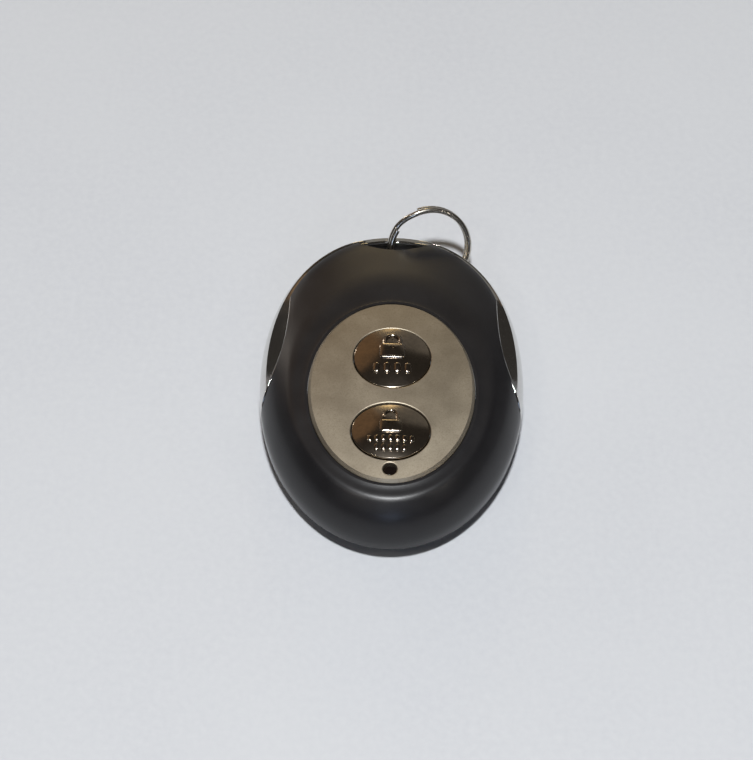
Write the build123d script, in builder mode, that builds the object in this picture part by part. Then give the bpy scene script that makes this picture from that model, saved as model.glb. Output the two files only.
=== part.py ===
from build123d import *
import math
import os

os.makedirs("parts", exist_ok=True)

# Car key fob. X is right, Y points to the key ring end, Z is up through the buttons.
# The origin is the middle of the resting face. Lengths are in millimetres, angles in degrees.

# Body outline and heights
body_half_width = 22.1
nose_reach = 30.5
ring_reach = 32.4
ring_end_fullness_share = 0.25
outline_steps = 16
parting_height = 3.2
deck_height = 12.3
rest_half_width = 16.6
rest_nose_reach = 24.6
rest_ring_reach = 23.4
cut_over = 1.0

# Powers of the rounding from the widest outline up to the deck, on flank, nose and ring end
widest_height_share = 0.14
lowest_reach_share = 0.985
flank_rise_power, flank_reach_power = 2.0, 1.8
nose_rise_power, nose_reach_power = 2.0, 2.0
ring_rise_power, ring_reach_power = 4.5, 1.0
rounding_steps = 6
crease_row = 3
flank_top_row = 5
last_row = rounding_steps + 1
all_rows = range(last_row + 1)
band_rows = range(crease_row + 1)
flank_rows = (crease_row, flank_top_row)
lower_section_shares = (
    (0.00, 0.00),
    (0.22, 0.40),
    (0.60, 0.80),
    (1.00, 1.00),
)

# Face plate
plate_width = 27.4
plate_length = 37.2
plate_middle_y = -5.2
plate_edge_thickness = 1.2
plate_crown_radius = 190.0
plate_crown_rise = 1.0
plate_bevel = 0.45
plate_hole_round = 0.18
plate_seat_depth = 0.9
plate_clearance = 0.12
plate_border = 0.6
stud_radius = 0.7
stud_reach = 1.5
stud_spread_share = 0.78

# Cover shell
cover_wall = 1.4
cover_deck = 1.1

# Seam between the cover and the chrome frame, on the right half, seen from above
frame_wall = 0.9
seam_gap = 0.08
seam_corner_y = 17.2
seam_waist_y = 9.8
seam_waist_scoop = 1.7
seam_shoulder_y = 2.9
seam_shoulder_scoop = 1.2
seam_flare_y = -2.8
seam_flare_inset = 1.15
seam_flare_opening = 0.35
seam_tip_y = -8.6
tip_cut = 1.6

# Slot and passage for the key ring
slot_half_width = 6.4
slot_depth = 3.5
passage_knee_height = 8.2
bay_half_width = 12.0
bay_depth = 8.6
bay_knee_height = 2.4
bay_roof_height = 5.0

# Buttons: width, length and middle of each
lock_width = 12.9
lock_length = 12.9
lock_middle_y = 0.95
unlock_width = 13.0
unlock_length = 11.3
unlock_middle_y = -14.15
button_gap = 0.15
button_stand = 0.25
button_dome_rise = 0.75
button_edge_round = 0.2
button_flange = 0.9
button_flange_end = 0.25
flange_thickness = 0.65
flange_gap = 0.12
button_travel = 0.35
stem_radius = 1.9

# Status light
light_middle_y = -21.4
light_bore = 2.3
light_sink = 0.35
light_gap = 0.08
light_foot = 0.4
light_round = 0.3

# Circuit board
board_base_height = 5.2
board_thickness = 1.0
board_edge_gap = 0.5
solder_gap = 0.05

# Tactile switches
switch_size = 6.0
switch_corner = 0.6
switch_body_height = 2.35
switch_well_radius = 2.2
switch_well_depth = 1.1
switch_cover_thickness = 0.25
switch_cover_bore = 1.85
switch_leg_width = 1.0
plunger_radius = 1.7
plunger_collar = 2.0
plunger_collar_height = 0.4
plunger_spare_stand = 0.25
plunger_round = 0.25
dome_thickness = 0.12
dome_rise = 0.45
switch_gap = 0.05

# Coin cell and its contacts
cell_radius = 10.0
cell_thickness = 3.2
cell_middle_y = -3.4
cell_can_wall = 0.4
cell_cap_shoulder = 0.5
cell_cap_step = 0.6
cell_gasket_width = 0.45
cell_round = 0.4
clip_width = 5.0
clip_thickness = 0.3
clip_side_gap = 0.3
clip_foot = 1.2
contact_radius = 4.0
contact_thickness = 0.2
contact_slots = 3
contact_slot_width = 0.5

# Rear cover
rear_floor = 1.2
rear_wall = 1.2
lip_width = 0.8
lip_height = 1.0
lip_gap = 0.12
cell_guard_width = 0.8
cell_guard_height = 1.4

# Case screws
screw_nose_angle = 52.0
boss_side_gap = 0.2
boss_bay_gap = 0.6
screw_shank_radius = 0.9
screw_head_radius = 1.8
screw_head_height = 1.0
screw_sink = 0.3
screw_reach = 8.6
screw_gap = 0.1
screw_drive_length = 2.0
screw_drive_width = 0.4
screw_drive_depth = 0.5
screw_point = 0.5
boss_radius = 2.2
post_radius = 2.1

# Split key ring
ring_outer_radius = 7.5
ring_wire = 0.95
ring_coil_gap = 0.04
ring_middle_x = 6.0
ring_middle_inset = 1.9
ring_middle_height = 7.1
ring_turn = 18.0
ring_lean = 30.0
ring_step_angle = 118.0
ring_step_half_span = 20.0
ring_step_sections = 6

# Parts on the circuit board
led_length = 2.0
led_width = 1.25
led_height = 1.3
led_round = 0.2
chip_length = 8.6
chip_width = 3.9
chip_height = 1.5
chip_middle_y = 11.6
chip_pin_pitch = 1.27
chip_pin_columns = 7
chip_pin_width = 0.45
chip_pin_reach = 1.0
chip_pin_thickness = 0.2
resonator_radius = 3.6
resonator_height = 2.2
resonator_rim = 0.4
resonator_round = 0.3
resonator_side_inset = 9.3
resonator_y = 7.0
transistor_length = 2.9
transistor_width = 1.3
transistor_height = 1.0
transistor_side_inset = 8.7
transistor_y = 6.0
small_chip_length = 2.0
small_chip_width = 1.25
capacitor_height = 0.8
resistor_height = 0.55
small_chip_pitch = 3.2
small_chip_count = 4
small_chip_side_inset = 8.3
small_chip_row_y = -5.0
antenna_width = 0.9
antenna_thickness = 0.1
antenna_edge = 0.4
antenna_end_y = -3.0

# Solids stand on their base
standing = (Align.CENTER, Align.CENTER, Align.MIN)

# Heights that follow
ceiling_height = deck_height - plate_seat_depth - cover_deck
plate_base_height = deck_height - plate_seat_depth
plate_edge_height = plate_base_height + plate_edge_thickness
plate_crown_height = plate_edge_height + plate_crown_rise
board_top_height = board_base_height + board_thickness
switch_top_height = board_top_height + solder_gap + switch_body_height + switch_cover_thickness
plunger_top_height = switch_top_height + button_travel + plunger_spare_stand
flange_top_height = ceiling_height - flange_gap
deck_half_width = plate_width / 2 + plate_border
deck_nose_y = plate_middle_y - plate_length / 2 - plate_border
deck_ring_y = plate_middle_y + plate_length / 2 + plate_border
cell_top_height = board_base_height - solder_gap - contact_thickness
cell_base_height = cell_top_height - cell_thickness
board_inset = cover_wall + board_edge_gap


# Outline of the body at one height, an ellipse that is fuller at the ring end
def egg_points(half_width, nose_y, ring_y, fullness_share):
    middle_y = (nose_y + ring_y) / 2
    half_length = (ring_y - nose_y) / 2
    points = []
    for step in range(outline_steps):
        turn = 2 * math.pi * step / outline_steps
        along, across = math.sin(turn), math.cos(turn)
        power = 2 / (2 + fullness_share) if along > 0 else 1
        x = math.copysign(abs(across) ** power, across) * half_width
        y = math.copysign(abs(along) ** power, along) * half_length + middle_y
        points.append((x, y))
    return points


def egg_section(height, half_width, nose_y, ring_y, fullness_share):
    with BuildSketch(Plane.XY.offset(height)) as section:
        with BuildLine():
            Spline(*egg_points(half_width, nose_y, ring_y, fullness_share), periodic=True)
        make_face()
    return section.sketch


# Row 0 is the parting line, row 1 the widest outline and the last row the deck
def height_share_at(row):
    if row == 0:
        return 0
    rise_share = math.sin(math.pi / 2 * (row - 1) / rounding_steps)
    return widest_height_share + (1 - widest_height_share) * rise_share


def reach_share_at(row, rise_power, reach_power):
    if row == 0:
        return lowest_reach_share
    rise_share = math.sin(math.pi / 2 * (row - 1) / rounding_steps)
    return max(0, 1 - rise_share ** rise_power) ** (1 / reach_power)


# Half width, nose end and ring end of the body at one row, drawn in by an inset
def upper_outline(row, inset=0):
    width_share = reach_share_at(row, flank_rise_power, flank_reach_power)
    nose_share = reach_share_at(row, nose_rise_power, nose_reach_power)
    ring_share = reach_share_at(row, ring_rise_power, ring_reach_power)
    half_width = deck_half_width + (body_half_width - deck_half_width) * width_share - inset
    nose_y = deck_nose_y + (-nose_reach - deck_nose_y) * nose_share + inset
    ring_y = deck_ring_y + (ring_reach - deck_ring_y) * ring_share - inset
    return half_width, nose_y, ring_y


def upper_stack(rows, inset, low, high, mode=Mode.ADD):
    sections = []
    for row in rows:
        height = low + (high - low) * height_share_at(row)
        fullness_share = ring_end_fullness_share * reach_share_at(row, flank_rise_power, flank_reach_power)
        sections.append(egg_section(height, *upper_outline(row, inset), fullness_share))
    loft(sections, mode=mode)


def lower_stack(inset, low, high, mode=Mode.ADD):
    half_width, nose_y, ring_y = upper_outline(0)
    sections = []
    for height_share, spread_share in lower_section_shares:
        outline = (
            rest_half_width + (half_width - rest_half_width) * spread_share - inset,
            -rest_nose_reach + (nose_y + rest_nose_reach) * spread_share + inset,
            rest_ring_reach + (ring_y - rest_ring_reach) * spread_share - inset,
        )
        sections.append(egg_section(low + (high - low) * height_share, *outline, ring_end_fullness_share))
    loft(sections, mode=mode)


# Places on the circuit board that follow its outline
def side_x(inset):
    return upper_outline(crease_row, board_inset + inset)[0]


# Case screws: one before the ring bay and two beside the nose, inside the antenna
bay_back_y = ring_reach - bay_depth
boss_outline = upper_outline(crease_row, board_inset + antenna_edge + antenna_width + boss_radius + boss_side_gap)
screw_nose_x = boss_outline[0] * math.cos(math.radians(screw_nose_angle))
screw_nose_y = (boss_outline[1] + boss_outline[2]) / 2 - (
    (boss_outline[2] - boss_outline[1]) / 2 * math.sin(math.radians(screw_nose_angle))
)
screw_ring_y = bay_back_y - cover_wall - boss_radius - boss_bay_gap
screw_places = ((0, screw_ring_y), (screw_nose_x, screw_nose_y), (-screw_nose_x, screw_nose_y))


# Inner edge of the chrome rim, at the height of its crease
crease_half_width, crease_nose_y, crease_ring_y = upper_outline(crease_row, frame_wall)
crease_middle_y = (crease_nose_y + crease_ring_y) / 2
crease_half_length = (crease_ring_y - crease_nose_y) / 2
crease_power = 2 + ring_end_fullness_share * reach_share_at(crease_row, flank_rise_power, flank_reach_power)


def rim_x(y):
    reach_share = max(0, (y - crease_middle_y) / crease_half_length)
    return crease_half_width * (1 - reach_share ** crease_power) ** (1 / crease_power)


def rim_y(x):
    return crease_middle_y + crease_half_length * (
        1 - (x / crease_half_width) ** crease_power
    ) ** (1 / crease_power)


# Plan of the cover: round the nose, in at the waists, along the rim and straight across the slot
def seam_plan(inset=0, opening=0):
    corner = (rim_x(seam_corner_y) - inset, seam_corner_y)
    waist = (rim_x(seam_waist_y) - seam_waist_scoop - inset, seam_waist_y)
    shoulder = (rim_x(seam_shoulder_y) - seam_shoulder_scoop - inset, seam_shoulder_y)
    flare = (body_half_width - seam_flare_inset - opening - inset, seam_flare_y)
    tip = (body_half_width + frame_wall - inset, seam_tip_y)
    outside = (body_half_width + cut_over - inset, -nose_reach - cut_over)
    slot_end = (slot_half_width, rim_y(slot_half_width) - inset)
    slot_middle = (0, rim_y(0) - slot_depth - inset)
    rim_middle_x = (corner[0] + slot_end[0]) / 2
    rim_middle = (rim_middle_x, rim_y(rim_middle_x + inset) - inset)
    with BuildSketch(Plane.XY) as plan:
        with BuildLine():
            for side in (1, -1):
                Polyline((0, outside[1]), (side * outside[0], outside[1]), (side * tip[0], tip[1]))
                Spline(*[(side * x, y) for x, y in (tip, flare, shoulder, waist, corner)])
                Spline(*[(side * x, y) for x, y in (corner, rim_middle, slot_end)])
            ThreePointArc(slot_end, slot_middle, (-slot_end[0], slot_end[1]))
        make_face()
    return plan.sketch


# Passage for the key ring: a slot from above with a back wall that slopes in to a wide bay below
slot_back_y = rim_y(0) - slot_depth


def slot_cutter(grow, mode):
    with BuildSketch(Plane.YZ) as side:
        with BuildLine():
            Polyline(
                (slot_back_y - grow, passage_knee_height + grow),
                (bay_back_y - grow, bay_knee_height),
                (bay_back_y - grow, -cut_over),
                (ring_reach + cut_over, -cut_over),
                (ring_reach + cut_over, passage_knee_height + grow),
                close=True,
            )
        make_face()
    extrude(side.sketch, amount=slot_half_width + grow, both=True, mode=mode)


def bay_cutter(grow, mode):
    roof_height = bay_roof_height + grow
    slope_share = (roof_height - bay_knee_height) / (passage_knee_height - bay_knee_height)
    roof_y = bay_back_y + (slot_back_y - bay_back_y) * slope_share
    with BuildSketch(Plane.YZ) as side:
        with BuildLine():
            Polyline(
                (roof_y - grow, roof_height),
                (bay_back_y - grow, bay_knee_height),
                (bay_back_y - grow, -cut_over),
                (ring_reach + cut_over, -cut_over),
                (ring_reach + cut_over, roof_height),
                close=True,
            )
        make_face()
    extrude(side.sketch, amount=bay_half_width + grow, both=True, mode=mode)


def save(piece, name):
    piece.part.label = name
    export_step(piece.part, "parts/" + name + ".step")


# Inner space of the front cover, kept clear of the ring passage's walls
with BuildPart() as cover_space:
    upper_stack(all_rows, cover_wall, parting_height - cut_over, ceiling_height)
    extrude(seam_plan(cover_wall, seam_flare_opening), amount=deck_height, mode=Mode.INTERSECT)
    slot_cutter(cover_wall, Mode.SUBTRACT)
    bay_cutter(cover_wall, Mode.SUBTRACT)

# Screw bosses, trimmed to the body's outside
with BuildPart() as cover_bosses:
    with BuildSketch(Plane.XY.offset(board_top_height + antenna_thickness + solder_gap)):
        with Locations(*screw_places):
            Circle(boss_radius)
    extrude(amount=ceiling_height - board_top_height)
    upper_stack(
        all_rows, cover_wall / 2, parting_height, ceiling_height + cover_wall / 2, Mode.INTERSECT
    )

# Front cover with the plate's seat, the button holes and the screw bosses
with BuildPart() as front_cover:
    upper_stack(all_rows, 0, parting_height, deck_height)
    extrude(seam_plan(0, seam_flare_opening), amount=deck_height, mode=Mode.INTERSECT)
    add(cover_space.part, mode=Mode.SUBTRACT)
    add(cover_bosses.part)
    slot_cutter(0, Mode.SUBTRACT)
    bay_cutter(0, Mode.SUBTRACT)
    with BuildSketch(Plane.XY.offset(plate_base_height)):
        with Locations((0, plate_middle_y)):
            Ellipse(plate_width / 2 + plate_clearance, plate_length / 2 + plate_clearance)
    extrude(amount=deck_height, mode=Mode.SUBTRACT)
    with BuildSketch(Plane.XY.offset(ceiling_height - cut_over)):
        with Locations((0, lock_middle_y)):
            Ellipse(lock_width / 2, lock_length / 2)
        with Locations((0, unlock_middle_y)):
            Ellipse(unlock_width / 2, unlock_length / 2)
        with Locations((0, light_middle_y)):
            Circle(light_bore / 2)
        with Locations((0, plate_middle_y)):
            with GridLocations(
                plate_width * stud_spread_share, plate_length * stud_spread_share / 2, 2, 2
            ):
                Circle(stud_radius + plate_clearance)
    extrude(amount=deck_height, mode=Mode.SUBTRACT)
    with BuildSketch(Plane.XY.offset(board_top_height)):
        with Locations(*screw_places):
            Circle(screw_shank_radius + screw_gap)
    extrude(amount=screw_reach - board_top_height + screw_gap, mode=Mode.SUBTRACT)
save(front_cover, "front_cover")

# Face plate: a crowned oval with a bevelled edge and studs that hold it in the cover
with BuildPart() as face_plate:
    with BuildSketch(Plane.XY.offset(plate_base_height)):
        with Locations((0, plate_middle_y)):
            Ellipse(plate_width / 2, plate_length / 2)
    extrude(amount=plate_edge_thickness + plate_crown_rise)
    with Locations((0, plate_middle_y, plate_crown_height - plate_crown_radius)):
        Sphere(plate_crown_radius, rotation=(90, 0, 0), mode=Mode.INTERSECT)
    chamfer(face_plate.faces().sort_by(Axis.Z)[-1].outer_wire().edges(), plate_bevel)
    with BuildSketch(Plane.XY.offset(plate_base_height)):
        with Locations((0, lock_middle_y)):
            Ellipse(lock_width / 2, lock_length / 2)
        with Locations((0, unlock_middle_y)):
            Ellipse(unlock_width / 2, unlock_length / 2)
        with Locations((0, light_middle_y)):
            Circle(light_bore / 2)
    extrude(amount=deck_height, mode=Mode.SUBTRACT)
    plate_top = face_plate.faces().filter_by(GeomType.SPHERE)[0]
    fillet(plate_top.edges().sort_by(SortBy.LENGTH)[:-1], plate_hole_round)
    with BuildSketch(Plane.XY.offset(plate_base_height)):
        with Locations((0, plate_middle_y)):
            with GridLocations(
                plate_width * stud_spread_share, plate_length * stud_spread_share / 2, 2, 2
            ):
                Circle(stud_radius)
    extrude(amount=-stud_reach)
save(face_plate, "face_plate")


# Push buttons: a domed cap with a rounded edge, a flange below the deck and a stem
def button_cap(width, length, middle_y):
    half_width = width / 2 - button_gap
    half_length = length / 2 - button_gap
    distance = abs(middle_y - plate_middle_y) + half_length
    edge_height = plate_crown_height - distance ** 2 / plate_crown_radius / 2 + button_stand
    with BuildSketch(Plane.XZ) as profile:
        with BuildLine():
            Polyline(
                (0, edge_height + button_dome_rise),
                (0, flange_top_height),
                (half_width, flange_top_height),
                (half_width, edge_height),
            )
            dome = ThreePointArc(
                (half_width, edge_height),
                (half_width / 2, edge_height + button_dome_rise * 3 / 4),
                (0, edge_height + button_dome_rise),
            )
        make_face()
        fillet(profile.vertices().sort_by_distance(dome @ 0)[0], button_edge_round)
    with BuildPart(mode=Mode.PRIVATE) as cap:
        revolve(profile.sketch, axis=Axis.Z)
        scale(by=(1, half_length / half_width, 1))
    with Locations((0, middle_y)):
        add(cap.part)
    with BuildSketch(Plane.XY.offset(flange_top_height - flange_thickness)) as flange:
        with Locations((0, middle_y)):
            Ellipse(half_width + button_flange, half_length + button_flange_end)
    extrude(flange.sketch, amount=flange_thickness)
    with BuildSketch(Plane.XY.offset(plunger_top_height + switch_gap)) as stem:
        with Locations((0, middle_y)):
            Circle(stem_radius)
    extrude(stem.sketch, amount=flange_top_height - plunger_top_height - switch_gap)


with BuildPart() as lock_button:
    button_cap(lock_width, lock_length, lock_middle_y)
save(lock_button, "lock_button")

with BuildPart() as unlock_button:
    button_cap(unlock_width, unlock_length, unlock_middle_y)
save(unlock_button, "unlock_button")


# Chrome frame: a thin horseshoe band round the upper body, with a crease at its rim
with BuildPart() as frame_space:
    inner_low, inner_high = parting_height - frame_wall, deck_height - frame_wall
    upper_stack(band_rows, frame_wall, inner_low, inner_high)
    upper_stack(flank_rows, frame_wall, inner_low, inner_high)

with BuildPart() as rim_slot:
    extrude(egg_section(0, *upper_outline(crease_row, frame_wall), crease_power - 2), amount=deck_height)
    with BuildSketch(Plane.XY):
        with Locations((0, ring_reach)):
            Rectangle(slot_half_width * 2, bay_depth * 2)
    extrude(amount=deck_height, mode=Mode.INTERSECT)

with BuildPart() as chrome_frame:
    upper_stack(band_rows, 0, parting_height, deck_height)
    upper_stack(flank_rows, 0, parting_height, deck_height)
    add(frame_space.part, mode=Mode.SUBTRACT)
    extrude(seam_plan(-seam_gap), amount=deck_height + cut_over, mode=Mode.SUBTRACT)
    add(rim_slot.part, mode=Mode.SUBTRACT)
    bay_cutter(0, Mode.SUBTRACT)
    split(bisect_by=Plane((0, seam_tip_y + tip_cut, 0), z_dir=(0, 1, 0)), keep=Keep.TOP)
save(chrome_frame, "chrome_frame")


# Plan of what fits inside the cover's wall, at a distance from the outside
def inner_plan(row, inset):
    with BuildSketch(Plane.XY) as plan:
        add(egg_section(0, *upper_outline(row, inset), ring_end_fullness_share))
        add(seam_plan(inset), mode=Mode.INTERSECT)
    return plan.sketch


# Lip of the rear cover, which stands inside the front cover's wall
with BuildPart() as rear_lip:
    with BuildSketch(Plane.XY.offset(rear_floor)):
        add(inner_plan(0, cover_wall + lip_gap + seam_flare_opening))
        add(inner_plan(0, cover_wall + lip_gap + seam_flare_opening + lip_width), mode=Mode.SUBTRACT)
    extrude(amount=parting_height + lip_height - rear_floor)
    slot_cutter(cover_wall + lip_gap, Mode.SUBTRACT)
    bay_cutter(cover_wall + lip_gap, Mode.SUBTRACT)

# Wall of the ring bay in the rear cover
with BuildPart() as bay_wall:
    lower_stack(0, 0, parting_height)
    bay_cutter(rear_wall, Mode.INTERSECT)

# Rear cover: a shallow rounded tray with screw posts and a guard round the coin cell
with BuildPart() as rear_cover:
    lower_stack(0, 0, parting_height)
    lower_stack(rear_wall, rear_floor, parting_height + cut_over, Mode.SUBTRACT)
    add(rear_lip.part)
    add(bay_wall.part)
    bay_cutter(0, Mode.SUBTRACT)
    with BuildSketch(Plane.XY.offset(rear_floor)):
        with Locations(*screw_places):
            Circle(post_radius)
    extrude(amount=board_base_height - solder_gap - rear_floor)
    with BuildSketch(Plane.XY.offset(rear_floor)):
        with Locations((0, cell_middle_y)):
            Circle(cell_radius + clip_side_gap + cell_guard_width)
            Circle(cell_radius + clip_side_gap, mode=Mode.SUBTRACT)
            Rectangle(body_half_width * 2, clip_width + cell_guard_width, mode=Mode.SUBTRACT)
    extrude(amount=cell_guard_height)
    for x, y in screw_places:
        with Locations(Plane((x, y, 0), z_dir=(0, 0, -1))):
            CounterBoreHole(
                screw_shank_radius + screw_gap, screw_head_radius + screw_gap, screw_sink, board_base_height
            )
        with Locations(Plane((x, y, screw_sink), z_dir=(0, 0, -1))):
            CounterSinkHole(
                screw_shank_radius + screw_gap, screw_head_radius + screw_gap, board_base_height
            )
save(rear_cover, "rear_cover")

# Case screws with a cross drive
with BuildPart() as cover_screws:
    with Locations(*[(x, y, screw_sink) for x, y in screw_places]):
        Cone(screw_head_radius, screw_shank_radius, screw_head_height,
             align=standing)
        Cylinder(screw_shank_radius, screw_reach - screw_sink,
                 align=standing)
    with BuildSketch(Plane.XY.offset(screw_sink)):
        with Locations(*screw_places):
            Rectangle(screw_drive_length, screw_drive_width)
            Rectangle(screw_drive_width, screw_drive_length)
    extrude(amount=screw_drive_depth, mode=Mode.SUBTRACT)
    chamfer(cover_screws.edges().filter_by(GeomType.CIRCLE).group_by(Axis.Z)[-1], screw_point)
save(cover_screws, "cover_screws")

# Split key ring: two coils of round wire, joined where one steps over to the other
ring_normal = (
    math.sin(math.radians(ring_turn)) * math.cos(math.radians(ring_lean)),
    -math.cos(math.radians(ring_turn)) * math.cos(math.radians(ring_lean)),
    math.sin(math.radians(ring_lean)),
)
ring_across = (math.cos(math.radians(ring_turn)), math.sin(math.radians(ring_turn)), 0)
ring_plane = Plane(
    (ring_middle_x, ring_reach - ring_middle_inset, ring_middle_height), x_dir=ring_across, z_dir=ring_normal
)
ring_mean_radius = ring_outer_radius - ring_wire / 2
coil_offset = (ring_wire + ring_coil_gap) / 2


def wire_section(angle, height):
    turn = math.radians(angle)
    middle = ring_plane.from_local_coords(
        (ring_mean_radius * math.cos(turn), ring_mean_radius * math.sin(turn), height)
    )
    outward = ring_plane.x_dir * math.cos(turn) + ring_plane.y_dir * math.sin(turn)
    along = ring_plane.y_dir * math.cos(turn) - ring_plane.x_dir * math.sin(turn)
    with BuildSketch(Plane(middle, x_dir=outward, z_dir=along)) as section:
        Circle(ring_wire / 2)
    return section.sketch


with BuildPart() as key_ring:
    for coil in (1, -1):
        revolve(
            wire_section(ring_step_angle + ring_step_half_span, coil * coil_offset),
            axis=Axis(ring_plane.origin, ring_plane.z_dir),
            revolution_arc=360 - ring_step_half_span * 2,
        )
    step_sections = []
    for step in range(ring_step_sections + 1):
        passed_share = step / ring_step_sections
        step_sections.append(
            wire_section(
                ring_step_angle + ring_step_half_span * (2 * passed_share - 1),
                coil_offset * math.cos(math.pi * passed_share),
            )
        )
    loft(step_sections)
save(key_ring, "key_ring")

# Light pipe from the status light to the face plate
light_top_height = (
    plate_crown_height - (light_middle_y - plate_middle_y) ** 2 / plate_crown_radius / 2 - light_sink
)
light_base_height = board_top_height + solder_gap + led_height + light_gap
with BuildPart() as light_pipe:
    with Locations((0, light_middle_y, light_base_height)):
        Cylinder(light_bore / 2 - light_gap, light_top_height - light_base_height,
                 align=standing)
    fillet(light_pipe.edges().sort_by(Axis.Z)[-1], light_round)
    with Locations((0, light_middle_y, light_base_height)):
        Cylinder(light_bore / 2 + light_foot, light_foot, align=standing)
save(light_pipe, "light_pipe")

# Circuit board, cut to the inside of the cover and drilled for the case screws
with BuildPart() as circuit_board:
    with BuildSketch(Plane.XY.offset(board_base_height)):
        add(inner_plan(crease_row, board_inset))
    extrude(amount=board_thickness)
    slot_cutter(board_inset, Mode.SUBTRACT)
    bay_cutter(board_inset, Mode.SUBTRACT)
    with BuildSketch(Plane.XY.offset(board_base_height)):
        with Locations(*screw_places):
            Circle(screw_shank_radius + screw_gap)
    extrude(amount=board_thickness, mode=Mode.SUBTRACT)
save(circuit_board, "circuit_board")

# Loop antenna round the board's nose
mount_height = board_top_height + solder_gap
with BuildPart() as antenna_loop:
    with BuildSketch(Plane.XY.offset(board_top_height)):
        add(inner_plan(crease_row, board_inset + antenna_edge))
        add(inner_plan(crease_row, board_inset + antenna_edge + antenna_width), mode=Mode.SUBTRACT)
    extrude(amount=antenna_thickness)
    split(bisect_by=Plane((0, antenna_end_y, 0), z_dir=(0, -1, 0)), keep=Keep.TOP)
save(antenna_loop, "antenna_loop")

# Tactile switches: housing with a well, metal cover with legs, snap dome and plunger
well_floor_height = mount_height + switch_body_height - switch_well_depth
plunger_base_height = well_floor_height + dome_rise + switch_gap
dome_base_radius = switch_well_radius - switch_gap
dome_sphere_radius = (dome_base_radius ** 2 + dome_rise ** 2) / dome_rise / 2
for switch_name, switch_y in (("lock", lock_middle_y), ("unlock", unlock_middle_y)):
    with BuildPart() as switch_body:
        with BuildSketch(Plane.XY.offset(mount_height)):
            with Locations((0, switch_y)):
                RectangleRounded(switch_size, switch_size, switch_corner)
        extrude(amount=switch_body_height)
        with BuildSketch(Plane.XY.offset(well_floor_height)):
            with Locations((0, switch_y)):
                Circle(switch_well_radius)
        extrude(amount=switch_well_depth, mode=Mode.SUBTRACT)
    save(switch_body, switch_name + "_switch_body")

    with BuildPart() as switch_cover:
        with BuildSketch(Plane.XY.offset(mount_height + switch_body_height)):
            with Locations((0, switch_y)):
                RectangleRounded(switch_size, switch_size, switch_corner)
                Circle(switch_cover_bore, mode=Mode.SUBTRACT)
        extrude(amount=switch_cover_thickness)
        with BuildSketch(Plane.XY.offset(mount_height)):
            with Locations(
                (switch_size / 2 + switch_cover_thickness / 2, switch_y),
                (-switch_size / 2 - switch_cover_thickness / 2, switch_y),
            ):
                Rectangle(switch_cover_thickness, switch_leg_width)
        extrude(amount=switch_body_height + switch_cover_thickness)
    save(switch_cover, switch_name + "_switch_cover")

    with BuildPart() as switch_dome:
        with Locations((0, switch_y, well_floor_height + dome_rise - dome_sphere_radius)):
            Sphere(dome_sphere_radius)
            Sphere(dome_sphere_radius - dome_thickness, mode=Mode.SUBTRACT)
        split(bisect_by=Plane.XY.offset(well_floor_height), keep=Keep.TOP)
    save(switch_dome, switch_name + "_switch_dome")

    with BuildPart() as switch_plunger:
        with Locations((0, switch_y, plunger_base_height)):
            Cylinder(plunger_collar, plunger_collar_height,
                     align=standing)
            Cylinder(plunger_radius, plunger_top_height - plunger_base_height,
                     align=standing)
        fillet(switch_plunger.edges().filter_by(GeomType.CIRCLE).group_by(Axis.Z)[-1], plunger_round)
    save(switch_plunger, switch_name + "_switch_plunger")

# Status light on the board
with BuildPart() as status_led:
    with BuildSketch(Plane.XY.offset(mount_height)):
        with Locations((0, light_middle_y)):
            Rectangle(led_length, led_width)
    extrude(amount=led_height)
    fillet(status_led.edges().filter_by(Axis.Z), led_round)
save(status_led, "status_led")

# Encoder chip with its pins
with BuildPart() as encoder_chip:
    with BuildSketch(Plane.XY.offset(mount_height + chip_pin_thickness)):
        with Locations((0, chip_middle_y)):
            Rectangle(chip_length, chip_width)
    extrude(amount=chip_height - chip_pin_thickness)
    chamfer(encoder_chip.edges().group_by(Axis.Z)[-1], chip_pin_thickness)
    pin_out_y = chip_width / 2 + chip_pin_reach
    with BuildSketch(Plane.XY.offset(mount_height)):
        with Locations((0, chip_middle_y)):
            with GridLocations(chip_pin_pitch, 0, chip_pin_columns, 1):
                Rectangle(chip_pin_width, pin_out_y * 2)
            Rectangle(chip_length, chip_width + chip_pin_reach, mode=Mode.SUBTRACT)
    extrude(amount=chip_pin_thickness)
    with BuildSketch(Plane.XY.offset(mount_height)):
        with Locations((0, chip_middle_y)):
            with GridLocations(chip_pin_pitch, 0, chip_pin_columns, 1):
                Rectangle(chip_pin_width, chip_width + chip_pin_reach)
            Rectangle(chip_length, chip_width + chip_pin_reach - chip_pin_thickness * 2, mode=Mode.SUBTRACT)
    extrude(amount=chip_height / 2 + chip_pin_thickness)
    with BuildSketch(Plane.XY.offset(mount_height + chip_height / 2)):
        with Locations((0, chip_middle_y)):
            with GridLocations(chip_pin_pitch, 0, chip_pin_columns, 1):
                Rectangle(chip_pin_width, chip_width + chip_pin_reach)
    extrude(amount=chip_pin_thickness)
save(encoder_chip, "encoder_chip")

# Resonator in a round metal can with a rim
with BuildPart() as saw_resonator:
    with Locations((-side_x(resonator_side_inset), resonator_y, mount_height)):
        Cylinder(resonator_radius, resonator_height, align=standing)
    fillet(saw_resonator.edges().sort_by(Axis.Z)[-1], resonator_round)
    with Locations((-side_x(resonator_side_inset), resonator_y, mount_height)):
        Cylinder(resonator_radius + resonator_rim, resonator_rim,
                 align=standing)
save(saw_resonator, "saw_resonator")

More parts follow.
